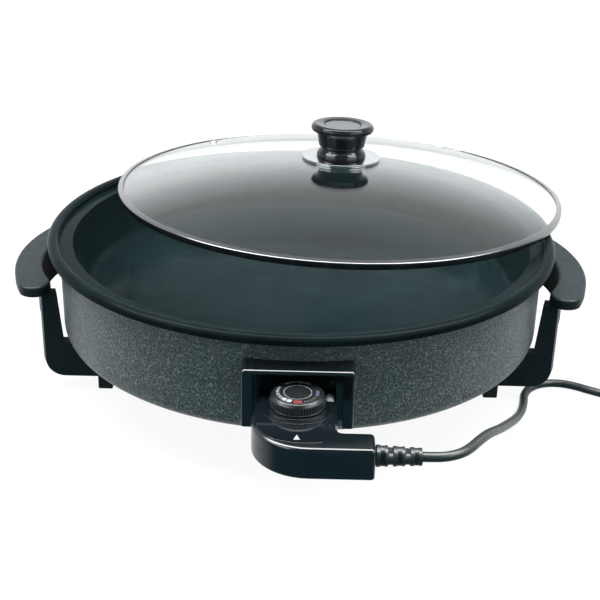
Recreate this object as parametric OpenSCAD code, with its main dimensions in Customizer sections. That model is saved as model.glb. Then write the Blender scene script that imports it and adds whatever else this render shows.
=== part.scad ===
// Round electric pan with a loose glass lid and a plug-in thermostat.
// Millimetres, +Z up, feet on z = 0, thermostat towards -Y.

/* [Pan] */
// Diameter over the rolled rim
pan_d = 420; // [400:1:440]
// Height of the rim's top above the lower edge of the outer wall
wall_h = 83; // [78:1:95]
// Clear height between the table and the outer wall
table_gap = 43; // [36:1:55]
// Depth from the rim's top to the cooking floor
pan_depth = 49; // [42:1:52]
// Thickness of the pan's sheet
sheet_t = 2; // [1.5:0.1:2.4]
// Thickness of the cooking floor
floor_t = 3; // [2.5:0.1:5]
// Height of the rolled rim's outer face
rim_h = 6.5; // [5.5:0.1:9]
// Width of the rolled rim
rim_w = 9.2; // [8.4:0.1:12]
// Radius of the rim's outer corner
rim_round = 4; // [3:0.1:4.5]
// Radius of the rim's inner corner
rim_in_round = 3.2; // [2.6:0.1:3.8]
// Width of the seat for the lid
seat_w = 11; // [7:0.5:14]
// Depth of the lid's seat below the rim's top
seat_drop = 5.5; // [5:0.1:8]
// How far the pan's wall leans inwards
wall_lean = 10; // [4:0.5:16]
// Fillet between wall and cooking floor
floor_fillet = 8; // [4:0.5:14]

/* [Outer wall] */
// How far the rim stands out over the outer wall
rim_overhang = 9.5; // [9:0.1:11]
// Thickness of the outer wall's sheet
shell_t = 1.2; // [0.8:0.1:2]
// Radius of the outer wall's lower corner
shell_corner = 11; // [5:0.5:14]
// Diameter of the hole in the outer wall's bottom
shell_hole_d = 276; // [270:1:282]
// How far the bottom cover laps over the edge of that hole
cover_lap = 9; // [6:0.5:12]
// Thickness of the bottom cover
cover_t = 1; // [0.8:0.1:2]
// Diameter of the posts that hold the cover
post_d = 9; // [8:0.5:11]
// Gap between a post and the edge of the hole in the outer wall's bottom
post_gap = 3.5; // [3:0.1:4]
// Shank diameter of the cover's screws
cover_screw_d = 3; // [2.5:0.1:4]
// Length of the cover's screws
cover_screw_len = 13; // [10:0.5:16]

/* [Heating element] */
// Diameter of the heating tube
element_d = 7; // [6:0.1:8]
// Gap between the heating ring and the posts
element_gap = 2; // [1:0.1:12]
// Bend radius at the ring's two ends
element_bend = 15; // [12:0.5:20]
// Distance between the two terminal pins
pin_gap = 25; // [22:0.5:28]
// Diameter of the terminal pins
pin_d = 4.8; // [4:0.1:5.2]
// Length of a terminal pin beyond the heating tube
pin_len = 31; // [28:0.5:31.5]
// Outer diameter of the ceramic bushes
bush_d = 9; // [8:0.1:10]
// Length of the ceramic bushes
bush_len = 12; // [9:0.5:14]
// Length of the straight end that the heating tube has inside the wall
tube_back = 12.5; // [12:0.1:16]
// Sheet thickness of the element's clips
clip_t = 1; // [0.8:0.1:1.5]
// Width of the foot on each side of a clip
clip_foot = 6; // [4:0.5:8]
// Length of the probe's guide tube
guide_len = 89.8; // [80:0.1:95]

/* [Terminal guard] */
// Thickness of the guard's cheeks
cheek_t = 8; // [5:0.5:10]
// Thickness of the guard's top plate
guard_top_t = 3; // [2:0.1:5]
// Thickness of the guard's back wall at the middle
guard_back_t = 3.5; // [3:0.1:5]
// How far the guard stands out from the outer wall
guard_reach = 15.5; // [12:0.5:18]
// Head room between the dial and the guard's top plate
guard_head = 8.2; // [6:0.1:12]
// Gap between the thermostat's nose and each cheek
guard_gap = 4.5; // [4.2:0.1:7]
// Shank diameter of the guard's screws
guard_screw_d = 4; // [3:0.1:5]

/* [Handles] */
// Width over both grips
handle_span = 480; // [474:1:500]
// Gap for the fingers between wall and bracket
finger_gap = 17.5; // [15:0.5:19]
// Thickness of the bracket's wall at its middle
bracket_t = 3.5; // [3:0.1:6]
// Radius of the bracket's inner curve
bracket_in_r = 102; // [100:1:106]
// Radius of the bracket's outer curve
bracket_out_r = 160; // [150:1:175]
// Radius of the grip's outer edge
grip_out_r = 150; // [146:1:154]
// Radius of the grip's rounded ends
grip_end_r = 12.5; // [12.2:0.1:13]
// Half of the bracket's width
bracket_half = 62; // [58:0.5:64]
// Thickness of the legs
leg_t = 10; // [8:0.5:12]
// Gap between the legs' upper ends and the outer wall
leg_gap = 5.5; // [3:0.1:6]
// Gap between the legs' lower ends and the outer wall
leg_low_gap = 2; // [1:0.1:3]
// Height of the bowed wall that joins the legs below the grip
apron_h = 22; // [2:0.5:30]
// Height of the rim's top above the grip's top
grip_drop = 30.5; // [26:0.5:36]
// Thickness of the grip
grip_t = 8.5; // [6:0.5:11]
// Radius of the bracket's lower outer corner
bracket_corner = 14; // [8:0.5:20]
// Width of the plate that is screwed to the outer wall
web_w = 26; // [24:0.5:30]
// Thickness of that plate
web_t = 5; // [3:0.5:8]
// Shank diameter of the handle screws
handle_screw_d = 4; // [3:0.1:5]
// Distance of the handle screws from the middle plane
handle_screw_y = 30; // [22:0.5:36]
// Height of the feet
foot_h = 12; // [8:0.5:16]
// Width of the feet
foot_w = 12; // [10:0.5:13]
// Distance of the feet's middles from the inner ends of the arms
foot_inset = 11; // [8:0.5:22]
// Diameter of a foot's stem
foot_stem_d = 6; // [4:0.5:7]
// Length of a foot's stem
foot_stem_h = 6; // [4:0.5:10]

/* [Lid] */
// Diameter of the lid over its steel band
lid_d = 396; // [390:0.5:399]
// Sheet thickness of the steel band
band_t = 0.7; // [0.5:0.1:1]
// Width of the band's lips over and under the glass
band_lip = 4.5; // [3:0.1:6]
// Thickness of the glass
glass_t = 4; // [3:0.1:5]
// Height of the dome
dome_h = 29.5; // [20:0.5:32]
// How far the lid lies off the pan's axis
lid_off = 92; // [80:1:96]
// Direction in which the lid is pushed back, from +X
lid_azimuth = 69; // [60:1:80]
// Tilt of the lid towards that direction
lid_tilt = 3; // [2:0.1:4]
// Height between the lid's lower lip and the rim where they meet
lid_rest = 0.3; // [0.2:0.05:0.6]
// Distance of the steam vent from the lid's middle
vent_r = 167; // [150:1:178]
// Direction of the steam vent from the lid's middle
vent_azimuth = 137; // [0:1:360]
// Diameter of the vent's flange
vent_d = 8.6; // [7:0.1:11]
// Diameter of the vent's barrel
vent_barrel_d = 6; // [5:0.1:6.6]
// Diameter of the vent's hole
vent_hole_d = 4; // [3:0.1:4.6]

/* [Knob] */
// Diameter of the bright saucer under the knob
saucer_d = 70; // [60:1:80]
// Thickness of the saucer at its middle
saucer_h = 1.2; // [0.8:0.1:2]
// Diameter of the knob's flared base
knob_base_d = 44; // [36:1:50]
// Diameter of the knob's waist
knob_waist_d = 37; // [28:1:38]
// Diameter of the knob's body below its lip
knob_body_d = 45.6; // [40:0.2:50]
// Diameter of the knob's lip
knob_lip_d = 56; // [52:1:62]
// Height of the knob
knob_h = 29.5; // [28:0.5:40]
// Height of the knob's lip
knob_lip_h = 7; // [5.5:0.5:10]
// Diameter of the inlay in the knob's top
inlay_d = 32; // [24:1:38]
// Depth of the inlay below the knob's top
inlay_drop = 1.6; // [0.6:0.1:3]
// Thread diameter of the knob's screw
knob_screw_d = 5; // [4:0.1:6]
// Diameter of the brass insert
insert_d = 10; // [8:0.5:14]
// Length of the brass insert
insert_h = 14; // [10:0.5:18]

/* [Thermostat] */
// Width of the thermostat's nose
nose_w = 54; // [52:0.5:58]
// Length of the nose's straight part
nose_len = 16.5; // [14:0.5:20]
// Length over which the case widens behind the nose
flare_len = 10; // [6:0.5:12]
// How far the case reaches to the left of its axis
case_left = 31; // [29:0.5:34]
// Radius of the case's large rounded corner
case_corner = 39; // [34:0.5:42]
// Distance from the dial's axis to the case's front
case_front = 55.5; // [52:0.5:62]
// How far the case's arm reaches to the right of its axis
arm_reach = 51.5; // [48:0.5:60]
// Width of the arm from front to back
arm_depth = 23; // [21:0.5:26]
// Radius of the case's inner corner beside the arm
inner_corner = 4; // [2:0.5:6]
// Radius of the arm's outer corners
arm_round = 3; // [2:0.5:4]
// Height of the case above the pins' axis
case_above = 11; // [10:0.5:14]
// Depth of the case below the pins' axis
case_below = 11.5; // [10:0.5:13]
// Wall thickness of the case
case_wall = 2; // [1.5:0.1:2.2]
// Thickness of the case's top
case_top_t = 2.2; // [1.5:0.1:2.6]
// Thickness of the case's floor
case_floor_t = 2; // [1.5:0.1:3]
// Gap between the nose and the guard's back wall
nose_gap = 1.5; // [1:0.1:2]
// Diameter of the lower collar round the dial
collar_d = 51; // [47:0.5:52]
// Diameter of the upper collar round the dial
collar_top_d = 43; // [40:0.5:46]
// Height of each collar step
collar_step = 0.8; // [0.4:0.1:1.2]
// Diameter of the probe rod
rod_d = 5; // [4:0.1:5.4]
// Length of the probe rod in front of the nose
rod_len = 67.5; // [50:0.5:80]
// Outer diameter of the contact sockets
socket_d = 7.2; // [6.6:0.1:8]
// Length of the contact sockets
socket_len = 13; // [12:0.5:14]
// Half of the contact block's width
block_half = 19.3; // [17:0.1:19.5]
// Length of the contact block
block_len = 9.4; // [8:0.1:9.6]
// Thickness of the bimetal blade
blade_t = 0.6; // [0.4:0.1:1]
// Width of the bimetal blade
blade_w = 8; // [6:0.5:10]
// Shank diameter of the case's screws
case_screw_d = 3; // [2.5:0.1:3.5]
// Depth of the case's screws in its top shell
case_screw_bite = 5.5; // [4:0.1:5.6]
// Diameter of the screw posts inside the case
case_post_d = 7; // [6:0.5:8]
// Length of the pilot lamp's window
lens_len = 11; // [8:0.5:13]
// Width of the pilot lamp's window
lens_w = 6; // [4:0.5:6.5]
// Diameter of the pilot lamp
lamp_d = 5; // [4:0.1:5]
// Width of the pointer mark
mark_w = 4.4; // [3:0.1:8]
// Length of the pointer mark
mark_len = 6.4; // [4:0.1:8]

/* [Dial] */
// Diameter of the dial
dial_d = 39; // [37:0.5:40]
// Diameter of the dial's top face
dial_top_d = 34.4; // [32:0.2:36]
// Height of the dial
dial_h = 8.6; // [8:0.1:12]
// Gap between the dial and the guard's back wall
dial_gap = 1; // [0.5:0.1:2]
// Diameter of the dial's printed plate
scale_d = 31; // [26:0.5:32]
// Diameter of the dial's spindle
spindle_d = 6; // [5:0.1:7]

/* [Cord] */
// Diameter of the cord
cord_d = 7; // [6:0.1:7.4]
// Length of the strain relief outside the case
relief_len = 31; // [26:0.5:36]
// Largest diameter of the strain relief
relief_d = 15.2; // [13:0.1:16]
// Distance of the strain relief's axis from the case's front
relief_back = 12; // [11:0.5:12.5]
// Middle radius of the coil's outermost turn
coil_r = 44; // [42:0.5:50]
// Step between two turns of the coil
coil_step = 8; // [7.8:0.1:9]
// Diameter of the plug
plug_d = 37; // [34:0.5:40]
// Length of the plug's body
plug_len = 36; // [30:0.5:42]
// Length of the plug's neck
plug_neck = 20; // [14:0.5:26]
// Diameter of the plug's pins
plug_pin_d = 4.8; // [4:0.1:5]
// Length of the plug's pins
plug_pin_len = 19; // [17:0.5:20]
// Distance between the plug's pins
plug_pin_gap = 19; // [17:0.5:20]

/* [Hidden] */
$fn = 72;
// Radial clearance of a running fit
run = 0.08;
// Clearance of a piece that is fixed in its hole
fit = 0.02;
// Clearance between loose neighbours
near = 0.3;
// Wide clearance of a screw in its hole
loose = 0.25;

// Pan and outer wall
rim_r = pan_d / 2;
rim_top = table_gap + wall_h;
rim_low = rim_top - rim_h;
seat_r = rim_r - rim_w;
seat_z = rim_top - seat_drop;
seat_in_r = seat_r - seat_w;
floor_z = rim_top - pan_depth;
floor_low = floor_z - floor_t;
floor_r = seat_in_r - wall_lean;
lean_a = atan(wall_lean / (seat_z - floor_z));
fillet_x = floor_r - floor_fillet / tan(45 + lean_a / 2);
fillet_z = floor_z + floor_fillet;
shell_r = rim_r - rim_overhang;
shell_top = seat_z - sheet_t;
post_angles = [90, 210, 330];
post_ring = shell_hole_d / 2 - post_gap - post_d / 2;
cover_d = shell_hole_d + 2 * cover_lap;
head_h = 2;

// Heating element, terminals and guide tube
axis_z = floor_low - element_d / 2;
element_ring = post_ring - post_d / 2 - element_gap - element_d / 2;
pin_x = pin_gap / 2;
tube_end_y = -(shell_r - tube_back);
bend_x = pin_x + element_bend;
bend_y = -sqrt(pow(element_ring + element_bend, 2) - bend_x * bend_x);
bend_a = atan2(-bend_y, bend_x);
pin_end_y = tube_end_y - pin_len;
guard_back_y = -(shell_r + guard_back_t);
bush_end_y = guard_back_y - 1;
guide_bore_d = rod_d + 2 * run;
guide_end_y = guard_back_y - 0.8;
window_half = pin_x + bush_d / 2 + 3;
window_up = bush_d / 2 + 4;

// Thermostat case
nose_y = guard_back_y - nose_gap;
dial_y = guard_back_y - dial_gap - dial_d / 2;
front_y = dial_y - case_front;
case_low = axis_z - case_below;
case_high = axis_z + case_above;
seam_z = axis_z;
nose_half = nose_w / 2;
arm_back_y = front_y + arm_depth;
nose_in_y = nose_y - case_wall;
case_floor = case_low + case_floor_t;
case_roof = case_high - case_top_t;
post_spots = [
    [9 - case_left, dial_y - 15.5],
    [arm_reach - 13.5, front_y + 11],
    [nose_half - 7.5, dial_y - 21.5]
];
block_end_y = nose_in_y - block_len;
block_high = axis_z + 6.5;
boss_d = spindle_d + 5;
boss_low = case_roof - 5.3;
blade_z = axis_z - 0.5;
stack_y = dial_y - 21.5;
stack_len = 8;
lens_x = nose_half - 1.8 - lens_w / 2;
lens_y = nose_in_y - lens_len / 2;

// Dial
collar_top = case_high + 2 * collar_step;
dial_low = collar_top + near;
dial_high = dial_low + dial_h;
scale_t = 0.3;

// Guard
guard_half = nose_half + guard_gap + cheek_t;
guard_low = case_low;
guard_high = dial_high + scale_t + guard_head + guard_top_t;
guard_front_y = -(shell_r + guard_reach);
guard_screw_x = guard_half / 2;
guard_screw_z = axis_z + 19.5;

// Handles
grip_high = rim_top - grip_drop;
grip_low = grip_high - grip_t;
bracket_in_x = shell_r + finger_gap - bracket_in_r;
bracket_out_x = shell_r + finger_gap + bracket_t - bracket_out_r;
grip_x = handle_span / 2 - grip_out_r;
end_a = grip_out_r - grip_end_r;
end_b = bracket_in_r + grip_end_r;
end_x = (end_a * end_a - end_b * end_b - grip_x * grip_x + bracket_in_x * bracket_in_x)
    / (2 * (bracket_in_x - grip_x));
end_y = sqrt(end_a * end_a - pow(end_x - grip_x, 2));
arm_in_x = cover_d / 2 + 3;
web_low = table_gap - web_t;
handle_screw_x = arm_in_x + 15;
foot_x = arm_in_x + foot_inset;
foot_y = bracket_half - foot_w / 2;
apron_low = grip_low - apron_h;
nut_h = 3.2;
nut_d = 2 * handle_screw_d;

// Lid
lid_r = lid_d / 2;
lip_r = lid_r - band_lip;
glass_r = lid_r - band_t - near;
glass_low = band_t + 0.1;
dome_r = (glass_r * glass_r + dome_h * dome_h) / (2 * dome_h);
dome_z = glass_low - sqrt(dome_r * dome_r - glass_r * glass_r);
function glass_under(r) = dome_z + sqrt(dome_r * dome_r - r * r);
function glass_over(r) = dome_z + sqrt(pow(dome_r + glass_t, 2) - r * r);
band_low_top = glass_over(lid_r - band_t) + 0.12;
band_high = band_low_top + band_t;
rim_flat_r = rim_r - rim_round;
lid_x = lid_off * cos(lid_azimuth);
lid_y = lid_off * sin(lid_azimuth);
lid_meet = (rim_flat_r * rim_flat_r - lip_r * lip_r + lid_off * lid_off) / (2 * lid_off);
lid_z = rim_top + lid_rest - (lid_off - lid_meet) * tan(lid_tilt);
lid_lean_y = sin(lid_tilt) * sin(lid_azimuth);
lid_far_y = lid_y + lid_r * sqrt(1 - lid_lean_y * lid_lean_y) + band_high * lid_lean_y;
shift_y = -(lid_far_y + front_y) / 2;
saucer_top = glass_over(0) + saucer_h;
knob_hole_r = 4;
inlay_t = 0.8;
gasket_t = 1.2;
washer_t = 1;

// Strain relief and cord
relief_y = front_y + relief_back;
relief_x = arm_reach + relief_len;
relief_step = 3;
relief_part = (relief_len - 0.5 - 2 * relief_step) / 3;
cord_r = cord_d / 2;
coil_x = 325;
coil_y = -104;
coil_turns = 3.25;
coil_low = 3.5;
coil_rise = 8;
cord_route = [
    [97, -267.3, 70.5],
    [104.4, -264.6, 70.4],
    [110.9, -259.8, 70],
    [116.5, -252.6, 69],
    [122, -242.6, 67],
    [128, -230, 63.3],
    [134.7, -214.6, 57.3],
    [141.6, -197.9, 49.5],
    [148.6, -180.3, 41],
    [156.3, -159.6, 31.2],
    [164.2, -138.8, 21.9],
    [171.7, -119.6, 13.9],
    [178.4, -101.9, 7.9],
    [183.5, -86.9, 4.5],
    [187, -73.3, 3.5],
    [190.2, -59.8, 3.5],
    [197.2, -48.4, 3.5],
    [208.2, -41.2, 3.5],
    [221.2, -39.6, 3.5],
    [233.8, -43.2, 3.5],
    [245.5, -50, 3.5],
    [258, -56.6, 3.5],
    [272, -60, 3.5],
    [288, -60, 3.5],
    [303, -60, 3.5]
];
tail_route = [
    [369, -117, 11.5],
    [369, -127, 13],
    [369, -139, 16],
    [369, -151, 18.2]
];
plug_y = -160;
plug_z = plug_d / 2;

// Points of an arc about [x, y], from angle a to angle b in n steps
function arc(x, y, r, a, b, n) = [
    for (i = [0:n]) [x + r * cos(a + (b - a) * i / n), y + r * sin(a + (b - a) * i / n)]
];

// Outline of the thermostat case, drawn in by g all round
function case_outline(g) = concat(
    [[nose_half - g, nose_y - g], [g - nose_half, nose_y - g]],
    [[g - nose_half, nose_y - nose_len], [g - case_left, nose_y - nose_len - flare_len]],
    arc(case_corner - case_left, front_y + case_corner, case_corner - g, 180, 270, 12),
    arc(arm_reach - arm_round, front_y + arm_round, max(arm_round - g, 0.2), 270, 360, 4),
    arc(arm_reach - arm_round, arm_back_y - arm_round, max(arm_round - g, 0.2), 0, 90, 4),
    arc(nose_half + inner_corner, arm_back_y + inner_corner, inner_corner + g, 270, 180, 4)
);

// Direction of a route at its point i
function unit(v) = v / norm(v);
function heading(p, i) = unit(p[min(i + 1, len(p) - 1)] - p[max(i - 1, 0)]);

// Tube of radius r with n sides along the points p
function tube_ring(c, t, r, n) = let (
    u = unit(cross(t, [0, 0, 1])),
    v = cross(u, t)
) [for (k = [0:n - 1]) c + r * (cos(360 * (k + 0.5) / n) * u + sin(360 * (k + 0.5) / n) * v)];
module tube(p, r, n) {
    m = len(p);
    pts = [for (i = [0:m - 1]) each tube_ring(p[i], heading(p, i), r, n)];
    side = [for (i = [0:m - 2]) for (k = [0:n - 1]) let (
        a = i * n + k,
        b = i * n + (k + 1) % n
    ) each [[a, a + n, b], [b, a + n, b + n]]];
    first = [for (k = [1:n - 2]) [0, k, k + 1]];
    last = [for (k = [1:n - 2]) [(m - 1) * n, (m - 1) * n + k + 1, (m - 1) * n + k]];
    polyhedron(points = pts, faces = concat(side, first, last));
}

// Middle line of the coil: it winds in, climbs one layer where it turns back, and winds out
function climb(s) = s * s * (3 - 2 * s);
function coil_point(t) = let (
    h = coil_turns / 2,
    r = coil_r - coil_step * (h - abs(t - h)),
    s = min(max((t - h) / 0.5 + 0.5, 0), 1)
) [
    coil_x + r * cos(90 - 360 * t),
    coil_y + r * sin(90 - 360 * t),
    coil_low + coil_rise * climb(s)
];
coil_count = coil_turns * 24;
coil_turn = [for (i = [0:coil_count]) coil_point(i / 24)];
coil_start = coil_turn[0] - [cord_d, 0, 0];
coil_end = coil_turn[coil_count] - [0, cord_d, 0];
coil_line = concat([coil_start], coil_turn, [coil_end]);
coil_gaps = [for (i = [0:coil_count]) for (j = [i + 12:1:coil_count])
    norm(coil_turn[i] - coil_turn[j]) - cord_d];
echo(least_gap_in_coil = min(coil_gaps));
relief_end = [relief_x, relief_y, axis_z];
cord_line = concat([relief_end, relief_end + [cord_d, 0, 0]], cord_route, [coil_start]);
plug_back = [coil_end[0], plug_y, plug_z];
tail_line = concat([coil_end], tail_route, [plug_back]);

// The pan's axis in the part's frame
module in_frame() {
    translate([0, shift_y, 0]) children();
}

// Places children where the lid lies
module lid_pose() {
    in_frame()
        translate([lid_x, lid_y, lid_z])
            rotate([0, 0, lid_azimuth])
                rotate([0, lid_tilt, 0])
                    rotate([0, 0, -lid_azimuth]) children();
}

// A cylinder along Y from y0 to y1
module rod_y(r, y0, y1) {
    translate([0, max(y0, y1), 0]) rotate([90, 0, 0]) cylinder(r = r, h = abs(y1 - y0));
}

// A cylinder along X from x0 to x1
module rod_x(r, x0, x1, r1) {
    translate([x0, 0, 0]) rotate([0, 90, 0]) cylinder(r1 = r, r2 = r1, h = x1 - x0);
}

// A block between two corners
module block(a, b) {
    translate(a) cube(b - a);
}

module cooking_pan() {
    lip = sheet_t / cos(lean_a) - sheet_t * tan(lean_a);
    profile = concat(
        [[0, floor_z]],
        arc(fillet_x, fillet_z, floor_fillet, -90, -lean_a, 8),
        [[seat_in_r, seat_z], [seat_r, seat_z]],
        arc(seat_r + rim_in_round, rim_top - rim_in_round, rim_in_round, 180, 90, 6),
        arc(rim_r - rim_round, rim_top - rim_round, rim_round, 90, 0, 8),
        [[rim_r, rim_low], [rim_r - sheet_t, rim_low]],
        arc(rim_r - rim_round, rim_top - rim_round, rim_round - sheet_t, 0, 90, 4),
        arc(seat_r + rim_in_round, rim_top - rim_in_round, rim_in_round - sheet_t, 90, 180, 4),
        [[seat_r + sheet_t, seat_z - sheet_t], [seat_in_r + lip, seat_z - sheet_t]],
        arc(fillet_x, fillet_z, floor_fillet + sheet_t, -lean_a, -90, 8),
        [[fillet_x, floor_low], [0, floor_low]]
    );
    color("#3a3b3e") in_frame() rotate_extrude($fn = 240) polygon(profile);
}

module outer_shell() {
    profile = concat(
        [[shell_r - shell_t, shell_top], [shell_r, shell_top]],
        arc(shell_r - shell_corner, table_gap + shell_corner, shell_corner, 0, -90, 8),
        [[shell_hole_d / 2, table_gap], [shell_hole_d / 2, table_gap + shell_t]],
        arc(shell_r - shell_corner, table_gap + shell_corner, shell_corner - shell_t, -90, 0, 8)
    );
    color("#565b60") in_frame() difference() {
        rotate_extrude($fn = 240) polygon(profile);
        block([-window_half, -shell_r - 2, axis_z - window_up],
              [window_half, -shell_r + 12, axis_z + window_up]);
        for (x = [-1, 1], y = [-1, 1])
            translate([x * handle_screw_x, y * handle_screw_y, table_gap - 1])
                cylinder(d = handle_screw_d + 2 * loose, h = shell_t + 2);
        for (x = [-1, 1])
            translate([x * guard_screw_x, 0, guard_screw_z])
                rod_y(guard_screw_d / 2 + fit, -shell_r - 2, -shell_r + 12);
    }
}

module base_cover() {
    color("#9a9c9f") in_frame() difference() {
        translate([0, 0, table_gap - cover_t]) cylinder(d = cover_d, h = cover_t, $fn = 180);
        for (a = post_angles)
            rotate([0, 0, a])
                translate([post_ring, 0, table_gap - cover_t - 1])
                    cylinder(d = cover_screw_d + 2 * loose, h = cover_t + 2);
    }
}

module standoff_posts() {
    color("#b9b9bb") in_frame() for (a = post_angles)
        rotate([0, 0, a]) translate([post_ring, 0, table_gap]) difference() {
            cylinder(d = post_d, h = floor_low - table_gap);
            translate([0, 0, -1])
                cylinder(d = cover_screw_d + 2 * fit, h = cover_screw_len - cover_t + 5);
        }
}

module base_screws() {
    color("#c8c8ca") in_frame() for (a = post_angles)
        rotate([0, 0, a]) translate([post_ring, 0, table_gap - cover_t]) {
            cylinder(d = cover_screw_d, h = cover_screw_len);
            translate([0, 0, -head_h]) cylinder(d = cover_screw_d + 2 * head_h, h = head_h);
        }
}

module heating_element() {
    color("#6a6460") in_frame() translate([0, 0, axis_z]) {
        rotate([0, 0, -bend_a])
            rotate_extrude(angle = 180 + 2 * bend_a, $fn = 120)
                translate([element_ring, 0]) circle(d = element_d, $fn = 32);
        for (m = [0, 1]) mirror([m, 0, 0]) {
            translate([bend_x, bend_y, 0])
                rotate([0, 0, 178 - bend_a])
                    rotate_extrude(angle = bend_a + 4, $fn = 72)
                        translate([element_bend, 0]) circle(d = element_d - 0.1, $fn = 32);
            translate([pin_x, 0, 0]) rod_y(element_d / 2, tube_end_y, bend_y, $fn = 32);
        }
    }
}

module element_clips() {
    w = element_d / 2 + clip_t;
    color("#a9abad") in_frame() for (a = [45, 135, 225, 315])
        rotate([0, 0, a - 3]) rotate_extrude(angle = 6, $fn = 120)
            translate([element_ring, axis_z]) intersection() {
                difference() {
                    union() {
                        circle(r = w, $fn = 48);
                        translate([-w - clip_foot, element_d / 2 - clip_t])
                            square([2 * (w + clip_foot), clip_t]);
                        translate([-w, 0]) square([2 * w, element_d / 2]);
                    }
                    circle(r = element_d / 2 + 0.05, $fn = 48);
                    translate([-element_d / 2 - 0.05, 0])
                        square([element_d + 0.1, element_d]);
                }
                translate([-4 * w, -4 * w]) square([8 * w, 4 * w + element_d / 2]);
            }
}

module terminal_pins() {
    color("#d8d8da") in_frame() for (x = [-pin_x, pin_x])
        translate([x, 0, axis_z]) {
            rod_y(pin_d / 2, pin_end_y + 1, tube_end_y);
            translate([0, pin_end_y + 1, 0]) rotate([90, 0, 0])
                cylinder(d1 = pin_d, d2 = pin_d - 2, h = 1);
        }
}

module terminal_insulators() {
    color("#f2efe6") in_frame() for (x = [-pin_x, pin_x])
        translate([x, 0, axis_z]) difference() {
            rod_y(bush_d / 2, bush_end_y, bush_end_y + bush_len);
            rod_y(pin_d / 2 + 0.05, bush_end_y - 1, bush_end_y + bush_len + 1);
        }
}

module probe_guide_tube() {
    color("#c3c5c7") in_frame() translate([0, 0, axis_z]) difference() {
        rod_y(element_d / 2, guide_end_y, guide_end_y + guide_len);
        rod_y(guide_bore_d / 2, guide_end_y - 1, guide_end_y + guide_len - 1.5);
    }
}

module terminal_guard() {
    inner = nose_half + guard_gap;
    color("#1d1e20") in_frame() difference() {
        block([-guard_half, guard_front_y, guard_low], [guard_half, -shell_r / 2, guard_high]);
        cylinder(r = shell_r + 0.05, h = rim_top, $fn = 240);
        block([-inner, guard_front_y - 1, guard_low - 1],
              [inner, guard_back_y, guard_high - guard_top_t]);
        for (x = [-pin_x, pin_x])
            translate([x, 0, axis_z]) rod_y(bush_d / 2 + 0.1, guard_back_y - 1, -shell_r / 2);
        translate([0, 0, axis_z]) rod_y(element_d / 2 + 0.1, guard_back_y - 1, -shell_r / 2);
        for (x = [-guard_screw_x, guard_screw_x])
            translate([x, 0, guard_screw_z])
                rod_y(guard_screw_d / 2 + loose, guard_back_y - 1, -shell_r / 2);
    }
}

module guard_screws() {
    color("#c8c8ca") in_frame() for (x = [-guard_screw_x, guard_screw_x])
        translate([x, 0, guard_screw_z]) {
            rod_y(guard_screw_d / 2, guard_back_y, -shell_r + 9);
            rod_y(guard_screw_d / 2 + 1.6, guard_back_y - 2.2, guard_back_y);
        }
}

// Right bracket: two legs joined by a bowed wall below the grip, and arms under the pan
inner_a = asin((bracket_half - leg_t) / bracket_in_r);
hollow = arc(bracket_in_x, 0, bracket_in_r, inner_a, -inner_a, 16);
bracket_edge = [[handle_span, -bracket_half], [handle_span, bracket_half]];
bracket_plan = concat(
    bracket_edge,
    [[arm_in_x, bracket_half], [arm_in_x, bracket_half - leg_t]],
    hollow,
    [[arm_in_x, leg_t - bracket_half], [arm_in_x, -bracket_half]]
);
tip_a = atan2(end_y, end_x - bracket_in_x);
tip_b = atan2(end_y, end_x - grip_x);
grip_plan = concat(
    arc(grip_x, 0, grip_out_r, -tip_b, tip_b, 24),
    arc(end_x, end_y, grip_end_r, tip_b + 6, 174 + tip_a, 14),
    arc(bracket_in_x, 0, bracket_in_r, tip_a, -tip_a, 18),
    arc(end_x, -end_y, grip_end_r, 186 - tip_a, 354 - tip_b, 14)
);

module bracket() {
    top = grip_low;
    c = bracket_corner;
    outer = concat(
        [[0, foot_h]],
        arc(bracket_out_r - c, foot_h + c, c, -90, 0, 8),
        [[bracket_out_r, top + 5], [0, top + 5]]
    );
    difference() {
        union() {
            difference() {
                intersection() {
                    translate([bracket_out_x, 0, 0]) rotate_extrude($fn = 240) polygon(outer);
                    translate([0, 0, foot_h - 1]) linear_extrude(top - foot_h + 1)
                        polygon(bracket_plan);
                }
                translate([0, 0, table_gap])
                    cylinder(r1 = shell_r + leg_low_gap, r2 = shell_r + leg_gap,
                             h = top - table_gap, $fn = 240);
                block([arm_in_x + web_w, leg_t - bracket_half, foot_h - 2],
                      [handle_span, bracket_half - leg_t, apron_low]);
            }
            block([arm_in_x, leg_t - bracket_half, web_low],
                  [arm_in_x + web_w, bracket_half - leg_t, table_gap]);
            translate([0, 0, top]) linear_extrude(grip_t) polygon(grip_plan);
        }
        for (y = [-1, 1]) {
            translate([handle_screw_x, y * handle_screw_y, web_low - 1])
                cylinder(d = handle_screw_d + 2 * loose, h = web_t + 2);
            translate([foot_x, y * foot_y, foot_h - 1])
                cylinder(d = foot_stem_d + 0.1, h = foot_stem_h + 1.3);
        }
    }
}

module left_handle() {
    color("#26292b") in_frame() mirror([1, 0, 0]) bracket();
}

module right_handle() {
    color("#26292b") in_frame() bracket();
}

module handle_screws() {
    color("#c8c8ca") in_frame() for (x = [-1, 1], y = [-1, 1])
        translate([x * handle_screw_x, y * handle_screw_y, web_low]) {
            cylinder(d = handle_screw_d, h = web_t + shell_t + nut_h);
            translate([0, 0, -2.6]) cylinder(d = 2 * handle_screw_d, h = 2.6);
        }
}

module handle_nuts() {
    color("#b5b5b8") in_frame() for (x = [-1, 1], y = [-1, 1])
        translate([x * handle_screw_x, y * handle_screw_y, table_gap + shell_t]) difference() {
            cylinder(d = nut_d, h = nut_h, $fn = 6);
            translate([0, 0, -1]) cylinder(d = handle_screw_d + 2 * fit, h = nut_h + 2);
        }
}

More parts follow.
